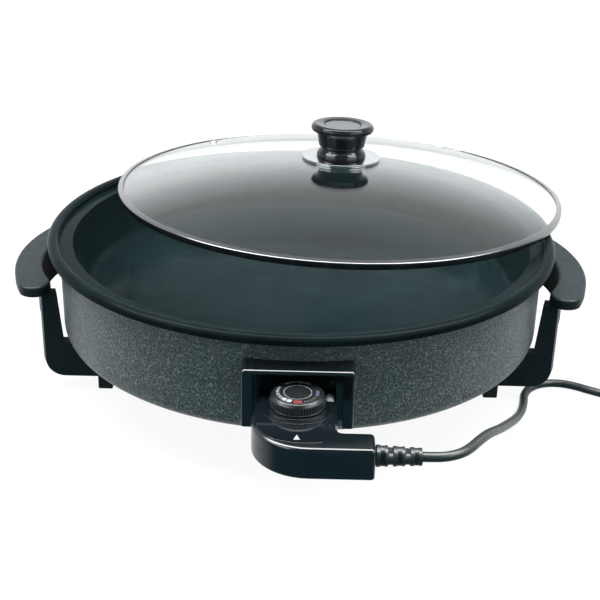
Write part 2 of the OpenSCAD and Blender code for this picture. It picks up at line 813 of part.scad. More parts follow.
module foot_pads() {
    color("#101112") in_frame() for (x = [-1, 1], y = [-1, 1])
        translate([x * foot_x, y * foot_y, 0]) {
            translate([-foot_w / 2, -foot_w / 2, 0]) cube([foot_w, foot_w, foot_h]);
            cylinder(d = foot_stem_d, h = foot_h + foot_stem_h);
        }
}

module at_vent() {
    translate([0, 0, dome_z])
        rotate([0, 0, vent_azimuth])
            rotate([0, asin(vent_r / dome_r), 0])
                translate([0, 0, dome_r]) children();
}

module lid_glass() {
    n = 16;
    a = knob_hole_r;
    b = glass_r;
    profile = concat(
        [for (i = [0:n]) let (r = a + (b - a) * i / n) [r, glass_under(r)]],
        [for (i = [n:-1:0]) let (r = a + (b - a) * i / n) [r, glass_over(r)]]
    );
    color("#cfe3e8") lid_pose() difference() {
        rotate_extrude($fn = 240) polygon(profile);
        at_vent() translate([0, 0, -3]) cylinder(d = vent_barrel_d + 0.1, h = glass_t + 6);
    }
}

module lid_rim_band() {
    color("#d5d7da") lid_pose() rotate_extrude($fn = 240) polygon([
        [lip_r, 0],
        [lid_r - 0.4, 0],
        [lid_r, 0.4],
        [lid_r, band_high - 0.4],
        [lid_r - 0.4, band_high],
        [lip_r, glass_over(lip_r) + 0.12 + band_t],
        [lip_r, glass_over(lip_r) + 0.12],
        [lid_r - band_t, band_low_top],
        [lid_r - band_t, band_t],
        [lip_r, band_t]
    ]);
}

module vent_grommet() {
    color("#c6c8cb") lid_pose() at_vent() rotate_extrude($fn = 48) polygon([
        [vent_hole_d / 2, -1],
        [vent_d / 2, -1],
        [vent_d / 2, -0.1],
        [vent_barrel_d / 2, -0.1],
        [vent_barrel_d / 2, glass_t + 0.1],
        [vent_d / 2, glass_t + 0.1],
        [vent_d / 2 - 0.6, glass_t + 1],
        [vent_hole_d / 2, glass_t + 1]
    ]);
}

module knob_saucer() {
    n = 5;
    a = knob_screw_d / 2 + 0.1;
    b = saucer_d / 2;
    profile = concat(
        [for (i = [0:n]) let (r = a + (b - a) * i / n) [r, glass_over(r) + 0.05]],
        [[b, saucer_top - 0.7], [b - 1, saucer_top], [a, saucer_top]]
    );
    color("#dfe1e4") lid_pose() rotate_extrude($fn = 120) polygon(profile);
}

module knob() {
    w = knob_waist_d / 2;
    b = knob_base_d / 2;
    m = knob_body_d / 2;
    t = knob_lip_d / 2;
    h = knob_h;
    l = knob_h - knob_lip_h;
    i = inlay_d / 2 + 0.1;
    floor = h - inlay_drop - inlay_t;
    profile = concat(
        [[insert_d / 2 + fit, 0], [b, 0], [b, 1.2], [b - 1.5, 3]],
        [[w + 1, 5.2], [w, 6.6], [w, 8], [w + 1, 9.3]],
        [[m - 2.3, 10.5], [m - 1.2, (l + 10) / 2], [m, l - 1.6], [m + 1.6, l - 0.3]],
        arc(t - 2.6, l + 2.6, 2.6, -80, 0, 4),
        arc(t - 2.8, h - 2.8, 2.8, 0, 90, 5),
        [[i + 1.4, h], [i, h - 0.8], [i, floor], [0, floor], [0, insert_h + 0.1]],
        [[insert_d / 2 + fit, insert_h + 0.1]]
    );
    color("#151617") lid_pose() translate([0, 0, saucer_top])
        rotate_extrude($fn = 120) polygon(profile);
}

module knob_insert() {
    color("#c9a85a") lid_pose() translate([0, 0, saucer_top]) difference() {
        cylinder(d = insert_d, h = insert_h);
        translate([0, 0, -1]) cylinder(d = knob_screw_d + 2 * fit, h = insert_h - 1);
    }
}

module knob_inlay() {
    color("#8f959c") lid_pose() translate([0, 0, saucer_top + knob_h - inlay_drop - inlay_t])
        cylinder(d = inlay_d, h = inlay_t, $fn = 120);
}

module knob_gasket() {
    seat = glass_under(11) - fit;
    color("#8a8d90") lid_pose() difference() {
        union() {
            translate([0, 0, seat - gasket_t]) cylinder(r = 11, h = gasket_t);
            translate([0, 0, seat - 0.1])
                cylinder(r = knob_hole_r - 0.1, h = glass_over(0) - seat);
        }
        translate([0, 0, seat - gasket_t - 1]) cylinder(d = knob_screw_d + 0.2, h = 20);
    }
}

module knob_washer() {
    color("#bfc1c4") lid_pose() translate([0, 0, glass_under(11) - fit - gasket_t - washer_t])
        difference() {
            cylinder(r = 9, h = washer_t);
            translate([0, 0, -1]) cylinder(d = knob_screw_d + 0.2, h = washer_t + 2);
        }
}

module knob_screw() {
    z = glass_under(11) - fit - gasket_t - washer_t;
    color("#c8c8ca") lid_pose() translate([0, 0, z]) {
        cylinder(d = knob_screw_d, h = saucer_top + insert_h - 4 - z);
        translate([0, 0, -3]) cylinder(d = knob_screw_d + 4, h = 3);
    }
}

// Openings in the nose for the pins and the probe rod, and in the arm for the cord
module case_openings() {
    for (x = [-pin_x, pin_x])
        translate([x, 0, axis_z]) rod_y(pin_d / 2 + 0.6, nose_in_y - 0.05, nose_y + 1);
    translate([0, 0, axis_z]) rod_y(rod_d / 2 + 0.2, nose_in_y - 0.05, nose_y + 1);
    translate([0, relief_y, axis_z])
        rod_x(6 + fit, arm_reach - case_wall - 1, arm_reach + 1, 6 + fit);
}

module control_top() {
    color("#202123") in_frame() difference() {
        union() {
            difference() {
                translate([0, 0, seam_z]) linear_extrude(case_high - seam_z)
                    polygon(case_outline(0));
                translate([0, 0, seam_z - 1]) linear_extrude(case_roof - seam_z + 1)
                    polygon(case_outline(case_wall));
            }
            intersection() {
                translate([0, dial_y, case_high - 0.5]) union() {
                    cylinder(d = collar_d, h = collar_step + 0.5);
                    cylinder(d = collar_top_d, h = 2 * collar_step + 0.5);
                }
                translate([0, 0, seam_z]) linear_extrude(case_high)
                    polygon(case_outline(0.4));
            }
            translate([0, dial_y, boss_low]) cylinder(d = boss_d, h = case_high - boss_low);
            for (p = post_spots)
                translate([p[0], p[1], seam_z])
                    cylinder(d = case_post_d, h = case_roof - seam_z + 0.5);
        }
        translate([0, dial_y, boss_low - 1])
            cylinder(d = spindle_d + 2 * run, h = case_high - boss_low + 4);
        for (p = post_spots)
            translate([p[0], p[1], seam_z - 1])
                cylinder(d = case_screw_d + 2 * fit, h = case_screw_bite + 1.5);
        block([lens_x - lens_w / 2 - 0.1, lens_y - lens_len / 2 - 0.1, case_roof - 1],
              [lens_x + lens_w / 2 + 0.1, lens_y + lens_len / 2 + 0.1, case_high + 4]);
        case_openings();
    }
}

module control_base() {
    color("#242527") in_frame() difference() {
        union() {
            difference() {
                translate([0, 0, case_low]) linear_extrude(seam_z - case_low)
                    polygon(case_outline(0));
                translate([0, 0, case_floor]) linear_extrude(seam_z)
                    polygon(case_outline(case_wall));
            }
            for (p = post_spots)
                translate([p[0], p[1], case_low + 0.5])
                    cylinder(d = case_post_d, h = seam_z - case_low - 0.5);
        }
        for (p = post_spots) {
            translate([p[0], p[1], case_low - 1])
                cylinder(d = case_screw_d + 2 * loose, h = seam_z);
            translate([p[0], p[1], case_low - 1])
                cylinder(d = 1.8 * case_screw_d + 0.4, h = head_h + 1.5);
        }
        case_openings();
    }
}

module control_screws() {
    color("#c8c8ca") in_frame() for (p = post_spots)
        translate([p[0], p[1], case_low + head_h + 0.5]) {
            cylinder(d = case_screw_d, h = seam_z + case_screw_bite - case_low - head_h - 0.5);
            translate([0, 0, -head_h]) cylinder(d = 1.8 * case_screw_d, h = head_h);
        }
}

module contact_block() {
    color("#d9d2c2") in_frame() difference() {
        block([-block_half, block_end_y, case_floor], [block_half, nose_in_y, block_high]);
        for (x = [-pin_x, pin_x])
            translate([x, 0, axis_z]) rod_y(socket_d / 2 + fit, block_end_y - 1, nose_y);
        translate([0, 0, axis_z]) rod_y(rod_d / 2 + fit, block_end_y - 1, nose_y);
    }
}

module contact_sockets() {
    color("#c9a85a") in_frame() for (x = [-pin_x, pin_x])
        translate([x, 0, axis_z]) difference() {
            rod_y(socket_d / 2, nose_in_y - 0.1 - socket_len, nose_in_y - 0.1);
            rod_y(pin_d / 2 + run, nose_y - socket_len - 4, nose_y);
        }
}

module probe_rod() {
    color("#cfd1d3") in_frame() translate([0, 0, axis_z]) {
        rod_y(rod_d / 2, block_end_y - 2.5, nose_y + rod_len - rod_d / 2);
        translate([0, nose_y + rod_len - rod_d / 2, 0]) sphere(d = rod_d, $fn = 48);
        rod_y(rod_d / 2 + 1.5, block_end_y - 1.5, block_end_y);
    }
}

module switch_frame() {
    color("#e3dccb") in_frame() translate([0, stack_y, 0]) {
        block([-7, -stack_len / 2, case_floor], [7, stack_len / 2, blade_z - 2.7]);
        block([-7, -stack_len / 2, blade_z - 2.3], [7, stack_len / 2, blade_z]);
        block([-7, -stack_len / 2, blade_z + blade_t],
              [7, stack_len / 2, blade_z + blade_t + 2.5]);
        translate([0, 0, case_floor]) cylinder(r = 1.5, h = blade_z + 1 - case_floor);
    }
}

module bimetal_blade() {
    color("#b0916a") in_frame() difference() {
        block([-blade_w / 2, stack_y - stack_len / 2, blade_z],
              [blade_w / 2, block_end_y - 2.5 - near, blade_z + blade_t]);
        translate([0, stack_y, blade_z - 1]) cylinder(r = 1.5 + fit, h = blade_t + 2);
    }
}

module contact_leaf() {
    color("#c9a85a") in_frame() difference() {
        block([-blade_w / 2 + 1, stack_y - stack_len / 2, blade_z - 2.7],
              [blade_w / 2 - 1, dial_y - 2, blade_z - 2.3]);
        translate([0, stack_y, blade_z - 4]) cylinder(r = 1.5 + fit, h = 4);
    }
}

module pilot_lamp() {
    color("#e8a060") in_frame()
        translate([lens_x, 0, case_roof - near - lamp_d / 2])
            rod_y(lamp_d / 2, nose_in_y - 0.5, nose_in_y - 9.5, $fn = 32);
}

module pilot_lens() {
    color("#c9ccd0") in_frame()
        block([lens_x - lens_w / 2, lens_y - lens_len / 2, case_roof],
              [lens_x + lens_w / 2, lens_y + lens_len / 2, case_high + collar_step + 0.3]);
}

module pointer_mark() {
    y = front_y + 11.2;
    color("#e8e8e8") in_frame() translate([0, 0, case_high]) linear_extrude(0.3)
        polygon([[-mark_w / 2, y], [mark_w / 2, y], [0, y + mark_len]]);
}

module strain_relief() {
    x0 = arm_reach - case_wall;
    color("#19191b") in_frame() translate([0, relief_y, axis_z]) {
        rod_x(8, x0 - 4.2, x0 - 0.1, 8);
        rod_x(6, x0 - 1, arm_reach + 0.6, 6);
        rod_x(5, arm_reach, relief_x, 5);
        for (i = [0:2]) {
            a = arm_reach + 0.5 + i * (relief_part + relief_step);
            d = relief_d / 2 - 0.55 * i;
            rod_x(d, a, a + relief_part, d - 0.2);
        }
    }
}

module cord() {
    color("#141415") in_frame() tube(cord_line, cord_r, 10);
}

module cord_coil() {
    color("#171718") in_frame() tube(coil_line, cord_r, 6);
}

module cord_tail() {
    color("#141415") in_frame() tube(tail_line, cord_r, 10);
}

module plug_body() {
    e = plug_neck + plug_len;
    color("#18191a") in_frame() translate([plug_back[0], plug_y, plug_z]) rotate([90, 0, 0])
        difference() {
            rotate_extrude($fn = 72) polygon(concat(
                [[0, 0], [cord_r + 2.5, 0], [cord_r + 5, plug_neck - 4], [cord_r + 8, plug_neck]],
                [[plug_d / 2 - 2, plug_neck + 5], [plug_d / 2, plug_neck + 10]],
                [[plug_d / 2, e - 1.5], [plug_d / 2 - 1.5, e], [0, e]]
            ));
            for (s = [-1, 1])
                translate([s * plug_pin_gap / 2, 0, e - 8])
                    cylinder(d = plug_pin_d + 2 * fit, h = 9);
            for (s = [0, 180])
                rotate([0, 0, s]) translate([-3, plug_d / 2 - 2, e - 20]) cube([6, 4, 21]);
        }
}

module plug_pins() {
    e = plug_neck + plug_len;
    color("#cfd1d3") in_frame() translate([plug_back[0], plug_y, plug_z]) rotate([90, 0, 0])
        for (s = [-1, 1])
            translate([s * plug_pin_gap / 2, 0, e - 8]) {
                cylinder(d = plug_pin_d, h = 8 + plug_pin_len - 1);
                translate([0, 0, 7 + plug_pin_len])
                    cylinder(d1 = plug_pin_d, d2 = plug_pin_d - 1.6, h = 1);
            }
}

module dial_cap() {
    r = dial_d / 2;
    t = dial_top_d / 2;
    color("#27282a") in_frame() translate([0, dial_y, dial_low]) rotate_extrude($fn = 96)
        polygon([
            [spindle_d / 2 + fit, 0.2],
            [spindle_d / 2 + 3.5, 0.2],
            [spindle_d / 2 + 3.5, dial_h - 2.2],
            [r - 2.2, dial_h - 2.8],
            [r - 2, 0],
            [r, 0],
            [r, dial_h - 2.4],
            [t, dial_h],
            [0, dial_h],
            [0, dial_h - 2.4],
            [spindle_d / 2 + fit, dial_h - 2.4]
        ]);
}

module dial_spindle() {
    tip = blade_z + blade_t + near;
    color("#bfc1c4") in_frame() translate([0, dial_y, 0]) {
        translate([0, 0, tip]) cylinder(d = spindle_d, h = dial_low + dial_h - 2.6 - tip);
        translate([0, 0, boss_low - 1.1]) cylinder(d = spindle_d + 2.4, h = 1);
    }
}

module dial_scale() {
    color("#b8bbbf") in_frame() translate([0, dial_y, dial_high])
        cylinder(d = scale_d, h = scale_t, $fn = 96);
}

cooking_pan();
outer_shell();
base_cover();
standoff_posts();
base_screws();
heating_element();
element_clips();
terminal_pins();
terminal_insulators();
probe_guide_tube();
terminal_guard();
guard_screws();
left_handle();
right_handle();
handle_screws();
handle_nuts();
foot_pads();
lid_glass();
lid_rim_band();
vent_grommet();
knob_saucer();
knob();
knob_insert();
knob_inlay();
knob_gasket();
knob_washer();
knob_screw();
control_top();
control_base();
control_screws();
contact_block();
contact_sockets();
probe_rod();
switch_frame();
bimetal_blade();
contact_leaf();
pilot_lamp();
pilot_lens();
pointer_mark();
strain_relief();
cord();
cord_coil();
cord_tail();
plug_body();
plug_pins();
dial_cap();
dial_spindle();
dial_scale();
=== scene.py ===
import math

import bmesh
import bpy
from mathutils import Matrix, Vector


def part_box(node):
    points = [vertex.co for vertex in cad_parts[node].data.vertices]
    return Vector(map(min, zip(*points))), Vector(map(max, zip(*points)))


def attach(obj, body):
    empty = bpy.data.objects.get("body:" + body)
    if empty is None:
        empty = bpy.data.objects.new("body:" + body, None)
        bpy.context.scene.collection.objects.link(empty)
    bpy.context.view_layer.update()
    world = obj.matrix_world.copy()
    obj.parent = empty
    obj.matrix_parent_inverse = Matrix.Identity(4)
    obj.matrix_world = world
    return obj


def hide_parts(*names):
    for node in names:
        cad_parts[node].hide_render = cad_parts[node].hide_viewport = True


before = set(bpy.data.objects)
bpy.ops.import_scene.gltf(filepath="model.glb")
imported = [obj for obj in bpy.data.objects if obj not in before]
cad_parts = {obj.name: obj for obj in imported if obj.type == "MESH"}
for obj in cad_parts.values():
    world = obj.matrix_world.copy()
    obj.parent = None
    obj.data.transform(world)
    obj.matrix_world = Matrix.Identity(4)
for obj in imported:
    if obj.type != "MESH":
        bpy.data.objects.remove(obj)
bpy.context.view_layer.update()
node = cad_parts
scene = bpy.context.scene

# The pan's axis in the shared frame. Everything below is in millimetres from it.
low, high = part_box("cooking_pan")
PAN_Y = (low.y + high.y) / 2


def P(x, y, z):
    return Vector((x / 1000, y / 1000 + PAN_Y, z / 1000))


# Camera, fitted to the rim and to the places where the lid lies on it
LENS, CAMERA_AT, CAMERA_TILT, CAMERA_ROLL = 71.16, (0, -931.2, 488), 65.2, 1.38
camera = bpy.data.objects.new("camera", bpy.data.cameras.new("camera"))
scene.collection.objects.link(camera)
camera.data.sensor_width = 36
camera.data.lens = LENS
camera.data.clip_start, camera.data.clip_end = 0.05, 60
camera.matrix_world = (
    Matrix.Translation(P(*CAMERA_AT))
    @ Matrix.Rotation(math.radians(CAMERA_TILT), 4, "X")
    @ Matrix.Rotation(math.radians(CAMERA_ROLL), 4, "Z")
)
scene.camera = camera


# Materials. n and l are a node tree's nodes and links.
def new_material(name):
    m = bpy.data.materials.new(name)
    m.use_nodes = True
    n, l = m.node_tree.nodes, m.node_tree.links
    place = n.new("ShaderNodeTexCoord").outputs["Object"]
    return m, n, l, n["Principled BSDF"], place


def noise(n, l, place, mm, detail=2.0, rough=0.5, output="Fac"):
    t = n.new("ShaderNodeTexNoise")
    t.inputs["Scale"].default_value = 1000 / mm
    t.inputs["Detail"].default_value = detail
    t.inputs["Roughness"].default_value = rough
    l.new(place, t.inputs["Vector"])
    return t.outputs[output]


def ramp(n, l, value, stops):
    r = n.new("ShaderNodeValToRGB")
    e = r.color_ramp.elements
    while len(e) < len(stops):
        e.new(0.5)
    for i, (at, c) in enumerate(stops):
        e[i].position = at
        e[i].color = (*c, 1) if isinstance(c, tuple) else (c, c, c, 1)
    l.new(value, r.inputs["Fac"])
    return r.outputs["Color"]


def span(n, l, value, a, b, low=0.3, high=0.7):
    r = n.new("ShaderNodeMapRange")
    for key, v in zip(("From Min", "From Max", "To Min", "To Max"), (low, high, a, b)):
        r.inputs[key].default_value = v
    l.new(value, r.inputs["Value"])
    return r.outputs["Result"]


def mixed(n, l, a, b, factor=None, blend="MIX"):
    """Mixes two colours, each a socket or a fixed colour. With no factor b acts in full."""
    m = n.new("ShaderNodeMix")
    m.data_type = "RGBA"
    m.blend_type = blend
    if factor is None:
        m.inputs["Factor"].default_value = 1
    else:
        l.new(factor, m.inputs["Factor"])
    for i, c in ((6, a), (7, b)):
        if isinstance(c, tuple):
            m.inputs[i].default_value = (*c, 1)
        else:
            l.new(c, m.inputs[i])
    return m.outputs[2]


def bump(n, l, height, strength, depth_mm, normal=None):
    b = n.new("ShaderNodeBump")
    b.inputs["Strength"].default_value = strength
    b.inputs["Distance"].default_value = depth_mm / 1000
    l.new(height, b.inputs["Height"])
    if normal is not None:
        l.new(normal, b.inputs["Normal"])
    return b.outputs["Normal"]


def plain(name, colour, rough, metal=0.0, mottle=0.12, mottle_mm=22, grain=0.25,
          grain_mm=0.7, depth_mm=0.05, uneven=0.05, **more):
    """A material whose colour, gloss and surface vary as the real one's do."""
    m, n, l, s, place = new_material(name)
    s.inputs["Metallic"].default_value = metal
    for key, value in more.items():
        s.inputs[key.replace("_", " ")].default_value = value
    cloud = noise(n, l, place, mottle_mm, 4)
    a = tuple(c * (1 - mottle) for c in colour)
    b = tuple(min(1, c * (1 + mottle)) for c in colour)
    l.new(ramp(n, l, cloud, [(0.3, a), (0.7, b)]), s.inputs["Base Color"])
    l.new(span(n, l, noise(n, l, place, mottle_mm * 0.4, 3), rough - uneven, rough + uneven),
          s.inputs["Roughness"])
    l.new(bump(n, l, noise(n, l, place, grain_mm, 3), grain, depth_mm), s.inputs["Normal"])
    return m


def hammered_finish(name):
    """Grey-black hammered lacquer: shallow dimples, with thin light ridges between them painted on as
    highlights.
    """
    m, n, l, s, place = new_material(name)
    s.inputs["Specular IOR Level"].default_value = 0.5
    wander = n.new("ShaderNodeVectorMath")
    wander.operation = "MULTIPLY_ADD"
    l.new(noise(n, l, place, 1000 / 380, 2, output="Color"), wander.inputs[0])
    wander.inputs[1].default_value = (0.0024, 0.0024, 0.0024)
    l.new(place, wander.inputs[2])
    cells = n.new("ShaderNodeTexVoronoi")
    cells.feature = "DISTANCE_TO_EDGE"
    cells.inputs["Scale"].default_value = 1000 / 2.7
    l.new(wander.outputs["Vector"], cells.inputs["Vector"])
    edge = cells.outputs["Distance"]
    # Painted highlight: the cell edges get a lighter colour in random patches. It stands in for glints on
    # the dimple rims.
    glint_ridge = ramp(n, l, edge, [(0.01, 1.0), (0.11, 0.0)])
    glint_patch = ramp(n, l, noise(n, l, place, 2.2, 3, 0.7), [(0.40, 0.0), (0.66, 1.0)])
    tint = ramp(n, l, noise(n, l, place, 60, 3),
                [(0.3, (0.0145, 0.0215, 0.0225)), (0.7, (0.0205, 0.0285, 0.0292))])
    painted_glint = mixed(n, l, glint_ridge, glint_patch, blend="MULTIPLY")
    l.new(mixed(n, l, tint, (0.125, 0.142, 0.142), painted_glint), s.inputs["Base Color"])
    l.new(span(n, l, noise(n, l, place, 3, 2), 0.34, 0.46), s.inputs["Roughness"])
    dimple = bump(n, l, ramp(n, l, edge, [(0.0, 1.0), (0.30, 0.0)]), 0.6, 0.24)
    l.new(bump(n, l, noise(n, l, place, 1.3, 2), 0.25, 0.08, dimple), s.inputs["Normal"])
    return m


def glass_finish(name, tint):
    m, n, l, s, place = new_material(name)
    s.inputs["Transmission Weight"].default_value = 1
    s.inputs["IOR"].default_value = 1.47
    pale = tuple(min(1, c * 1.01) for c in tint)
    l.new(ramp(n, l, noise(n, l, place, 80, 2), [(0.3, tint), (0.7, pale)]), s.inputs["Base Color"])
    l.new(span(n, l, noise(n, l, place, 40, 2), 0, 0.012), s.inputs["Roughness"])
    l.new(bump(n, l, noise(n, l, place, 70, 1), 0.02, 0.03), s.inputs["Normal"])
    return m


MAT = {}


def shade(name, colour, rough, metal=0.0, spec=None, **more):
    if spec is not None:
        more["Specular_IOR_Level"] = spec
    MAT[name] = plain(name, colour, rough, metal, **more)


def ink(name, colour, rough, mottle, metal=0.0):
    shade(name, colour, rough, metal, mottle=mottle, grain=0.1, grain_mm=0.5, depth_mm=0.01)


MAT["hammered"] = hammered_finish("hammered")
MAT["clear_glass"] = glass_finish("clear_glass", (0.87, 0.885, 0.882))

# Blacks
shade("non_stick", (0.0022, 0.0042, 0.0046), 0.17, spec=0.016, mottle=0.2, grain=0.08, grain_mm=0.8,
      depth_mm=0.015)
shade("bakelite_gloss", (0.0012, 0.0022, 0.003), 0.13, spec=0.5, mottle=0.15, grain=0.04, grain_mm=1.6,
      depth_mm=0.015, uneven=0.02)
shade("handle_bakelite", (0.0031, 0.0062, 0.0072), 0.44, spec=0.16, mottle=0.14, grain_mm=0.9,
      depth_mm=0.025)
shade("rubber_foot", (0.005, 0.006, 0.007), 0.6, spec=0.2, grain=0.3, grain_mm=0.9, depth_mm=0.03)
shade("knob_bakelite", (0.004, 0.005, 0.006), 0.06, spec=0.16, mottle=0.1, grain=0.03, grain_mm=2.5,
      depth_mm=0.02, uneven=0.015)
shade("case_black", (0.0012, 0.0024, 0.0032), 0.17, spec=0.5, mottle=0.14, grain=0.05, grain_mm=1.2,
      depth_mm=0.015, uneven=0.02)
shade("tongue_gloss", (0.002, 0.003, 0.004), 0.09, spec=0.5, mottle=0.1, grain=0.03, grain_mm=1.8,
      depth_mm=0.015, uneven=0.02)
shade("dial_plate", (0.002, 0.0027, 0.0032), 0.3, spec=0.35, grain=0.1, grain_mm=0.5, depth_mm=0.015)
shade("dial_black", (0.0022, 0.0032, 0.004), 0.3, spec=0.42, mottle=0.15, grain=0.1, grain_mm=0.8,
      depth_mm=0.02)
shade("cord_black", (0.005, 0.008, 0.008), 0.38, spec=0.38, mottle=0.15, grain=0.12, grain_mm=1.0,
      depth_mm=0.03)
shade("plug_black", (0.007, 0.009, 0.010), 0.36, spec=0.4, mottle=0.15, grain=0.15, grain_mm=0.8,
      depth_mm=0.03)
shade("blackened_steel", (0.0015, 0.0015, 0.0015), 0.5, spec=0.1, mottle_mm=5)

# Metals
shade("zinc_sheet", (0.42, 0.43, 0.44), 0.42, 1.0, mottle=0.18, mottle_mm=12, grain_mm=2.0)
shade("zinc_steel", (0.55, 0.55, 0.54), 0.35, 1.0, mottle_mm=6)
shade("element_steel", (0.20, 0.17, 0.15), 0.5, 0.9, mottle=0.3, mottle_mm=14)
shade("terminal_steel", (0.66, 0.66, 0.67), 0.26, 1.0, mottle_mm=4)
shade("polished_steel", (0.36, 0.362, 0.366), 0.13, 1.0, mottle=0.04, grain=0.03, uneven=0.03)
shade("band_steel", (0.21, 0.21, 0.212), 0.2, 1.0, mottle=0.05, grain=0.03, uneven=0.03)
shade("brass", (0.62, 0.45, 0.19), 0.3, 1.0, mottle_mm=5)
shade("blade_metal", (0.48, 0.36, 0.24), 0.35, 1.0, mottle_mm=4)

# Pale pieces and lenses
shade("ceramic_white", (0.80, 0.78, 0.72), 0.35, mottle=0.05, grain_mm=0.8)
shade("inlay_grey", (0.045, 0.048, 0.050), 0.5, spec=0.15, mottle=0.03, mottle_mm=30, grain=0.06,
      grain_mm=0.5, depth_mm=0.02, uneven=0.03)
shade("silicone_grey", (0.32, 0.33, 0.34), 0.55)
shade("melamine", (0.72, 0.68, 0.58), 0.4, mottle=0.06)
shade("lamp_glass", (0.85, 0.42, 0.18), 0.12, Transmission_Weight=0.6)
shade("lens_grey", (0.09, 0.095, 0.10), 0.22, mottle=0.06, grain=0.12, grain_mm=1.0, depth_mm=0.02,
      Transmission_Weight=0.15)

# Prints
ink("lens_face", (0.15, 0.155, 0.16), 0.3, 0.04)
ink("print_white", (0.13, 0.135, 0.14), 0.45, 0.04)
ink("print_red", (0.07, 0.006, 0.009), 0.45, 0.05)
ink("print_silver", (0.062, 0.066, 0.07), 0.42, 0.06, 0.1)
ink("print_dim", (0.024, 0.027, 0.028), 0.45, 0.06)
ink("print_blue", (0.014, 0.020, 0.032), 0.42, 0.06)

FINISH = {
    "non_stick": ["cooking_pan"],
    "hammered": ["outer_shell"],
    "zinc_sheet": ["base_cover"],
    "zinc_steel": ["standoff_posts", "base_screws", "element_clips", "handle_screws",
                   "handle_nuts", "knob_washer", "knob_screw", "control_screws", "probe_guide_tube",
                   "dial_spindle"],
    "element_steel": ["heating_element"],
    "terminal_steel": ["terminal_pins", "probe_rod", "plug_pins"],
    "ceramic_white": ["terminal_insulators"],
    "bakelite_gloss": ["terminal_guard"],
    "handle_bakelite": ["left_handle", "right_handle"],
    "rubber_foot": ["foot_pads"],
    "clear_glass": ["lid_glass"],
    "polished_steel": ["lid_rim_band", "vent_grommet", "knob_saucer"],
    "knob_bakelite": ["knob"],
    "brass": ["knob_insert", "contact_sockets", "contact_leaf"],
    "inlay_grey": ["knob_inlay"],
    "silicone_grey": ["knob_gasket"],
    "case_black": ["control_top", "control_base"],
    "melamine": ["contact_block", "switch_frame"],
    "blade_metal": ["bimetal_blade"],
    "lamp_glass": ["pilot_lamp"],
    "lens_grey": ["pilot_lens"],
    "print_white": ["pointer_mark"],
    "blackened_steel": ["guard_screws"],
    "dial_plate": ["dial_scale"],
    "dial_black": ["dial_cap"],
    "cord_black": ["strain_relief", "cord", "cord_coil", "cord_tail"],
    "plug_black": ["plug_body"],
}
for slot, names in FINISH.items():
    for name in names:
        o = node[name]
        if not o.material_slots:
            o.data.materials.append(MAT[slot])
        for s in o.material_slots:
            s.material = MAT[slot]


# Mesh helpers. Points nearer than WELD metres become one. Faces that turn by less than FLAT degrees
# are joined, and only edges that turn by more than SHARP degrees are rounded.
WELD, FLAT, SHARP = 2e-6, 0.8, 35


def mesh_piece(name, bm, body, material, stands_for=(), slot=None, angle=32, weighted=True):
    """Makes a piece of a bmesh whose points are in metres in the shared frame."""
    bmesh.ops.remove_doubles(bm, verts=bm.verts, dist=WELD)
    bmesh.ops.recalc_face_normals(bm, faces=bm.faces)
    mesh = bpy.data.meshes.new(name)
    bm.to_mesh(mesh)
    bm.free()
    mesh.shade_smooth()
    mesh.set_sharp_from_angle(angle=math.radians(angle))
    o = bpy.data.objects.new(name, mesh)
    scene.collection.objects.link(o)
    mesh.materials.append(MAT[material])
    if weighted:
        w = o.modifiers.new("normals", "WEIGHTED_NORMAL")
        w.keep_sharp = True
        w.weight = 80
    slot = slot or material
    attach(o, body)
    if stands_for:
        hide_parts(*stands_for)
    return o


def turns(n):
    """The angles of n points round a circle."""
    return [2 * math.pi * k / n for k in range(n)]


def turned(place, r, a, z):
    """A point at radius r, angle a and height z of place, in metres."""
    return place @ Vector((r * math.cos(a) / 1000, r * math.sin(a) / 1000, z / 1000))


def fillet(points, closed=True, n=5):
    """Corner points (x, y, r): each corner is rounded with its radius r."""
    out = []
    m = len(points)
    for i, (x, y, r) in enumerate(points):
        if r <= 0 or (not closed and i in (0, m - 1)):
            out.append((x, y))
            continue
        c = Vector((x, y))
        a = Vector(points[i - 1][:2]) - c
        b = Vector(points[(i + 1) % m][:2]) - c
        half = a.angle(b) / 2
        if half > math.radians(88):
            out.append((x, y))
            continue
        d = min(r / math.tan(half), a.length * 0.49, b.length * 0.49)
        rr = d * math.tan(half)
        p, q = c + a.normalized() * d, c + b.normalized() * d
        mid = c + (a.normalized() + b.normalized()).normalized() * rr / math.sin(half)
        u, w, turn = p - mid, q - mid, math.pi - 2 * half
        for k in range(n + 1):
            t = k / n
            v = (u * math.sin((1 - t) * turn) + w * math.sin(t * turn)) / math.sin(turn)
            out.append(tuple(mid + v))
    return out


def shrunk(points, g):
    """An outline of rounded corner points, drawn in by g."""
    flat = fillet(points)
    out = []
    for i, (x, y) in enumerate(flat):
        d = (Vector(flat[(i + 1) % len(flat)]) - Vector(flat[i - 1])).normalized()
        out.append((x - d.y * g, y + d.x * g))
    return out


def lathe(profile, n, place):
    """Turns a closed profile of (r, z) in millimetres round the z axis of place."""
    bm = bmesh.new()
    rings = [[bm.verts.new(turned(place, r, a, z)) for a in turns(n)] for r, z in profile]
    for a, b in zip(rings, rings[1:] + rings[:1]):
        for k in range(n):
            bm.faces.new([a[k], a[(k + 1) % n], b[(k + 1) % n], b[k]])
    return bm


def loft(rings, caps=True):
    """Joins closed rings of points, in metres, and closes the two ends."""
    bm = bmesh.new()
    made = [[bm.verts.new(p) for p in ring] for ring in rings]
    n = len(made[0])
    for a, b in zip(made, made[1:]):
        for k in range(n):
            bm.faces.new([a[k], a[(k + 1) % n], b[(k + 1) % n], b[k]])
    if caps:
        bm.faces.new(made[0])
        bm.faces.new(made[-1][::-1])
    return bm


def plate(outline, z0, z1, top_r, n=4):
    """A plate with a rounded upper rim. outline(g) gives its edge drawn in by g."""
    levels = [(0, z0)] + [(top_r * (1 - math.cos(a)), z1 - top_r * (1 - math.sin(a)))
                          for a in [math.pi / 2 * k / n for k in range(n + 1)]]
    return loft([[P(x, y, z) for x, y in outline(g)] for g, z in levels])


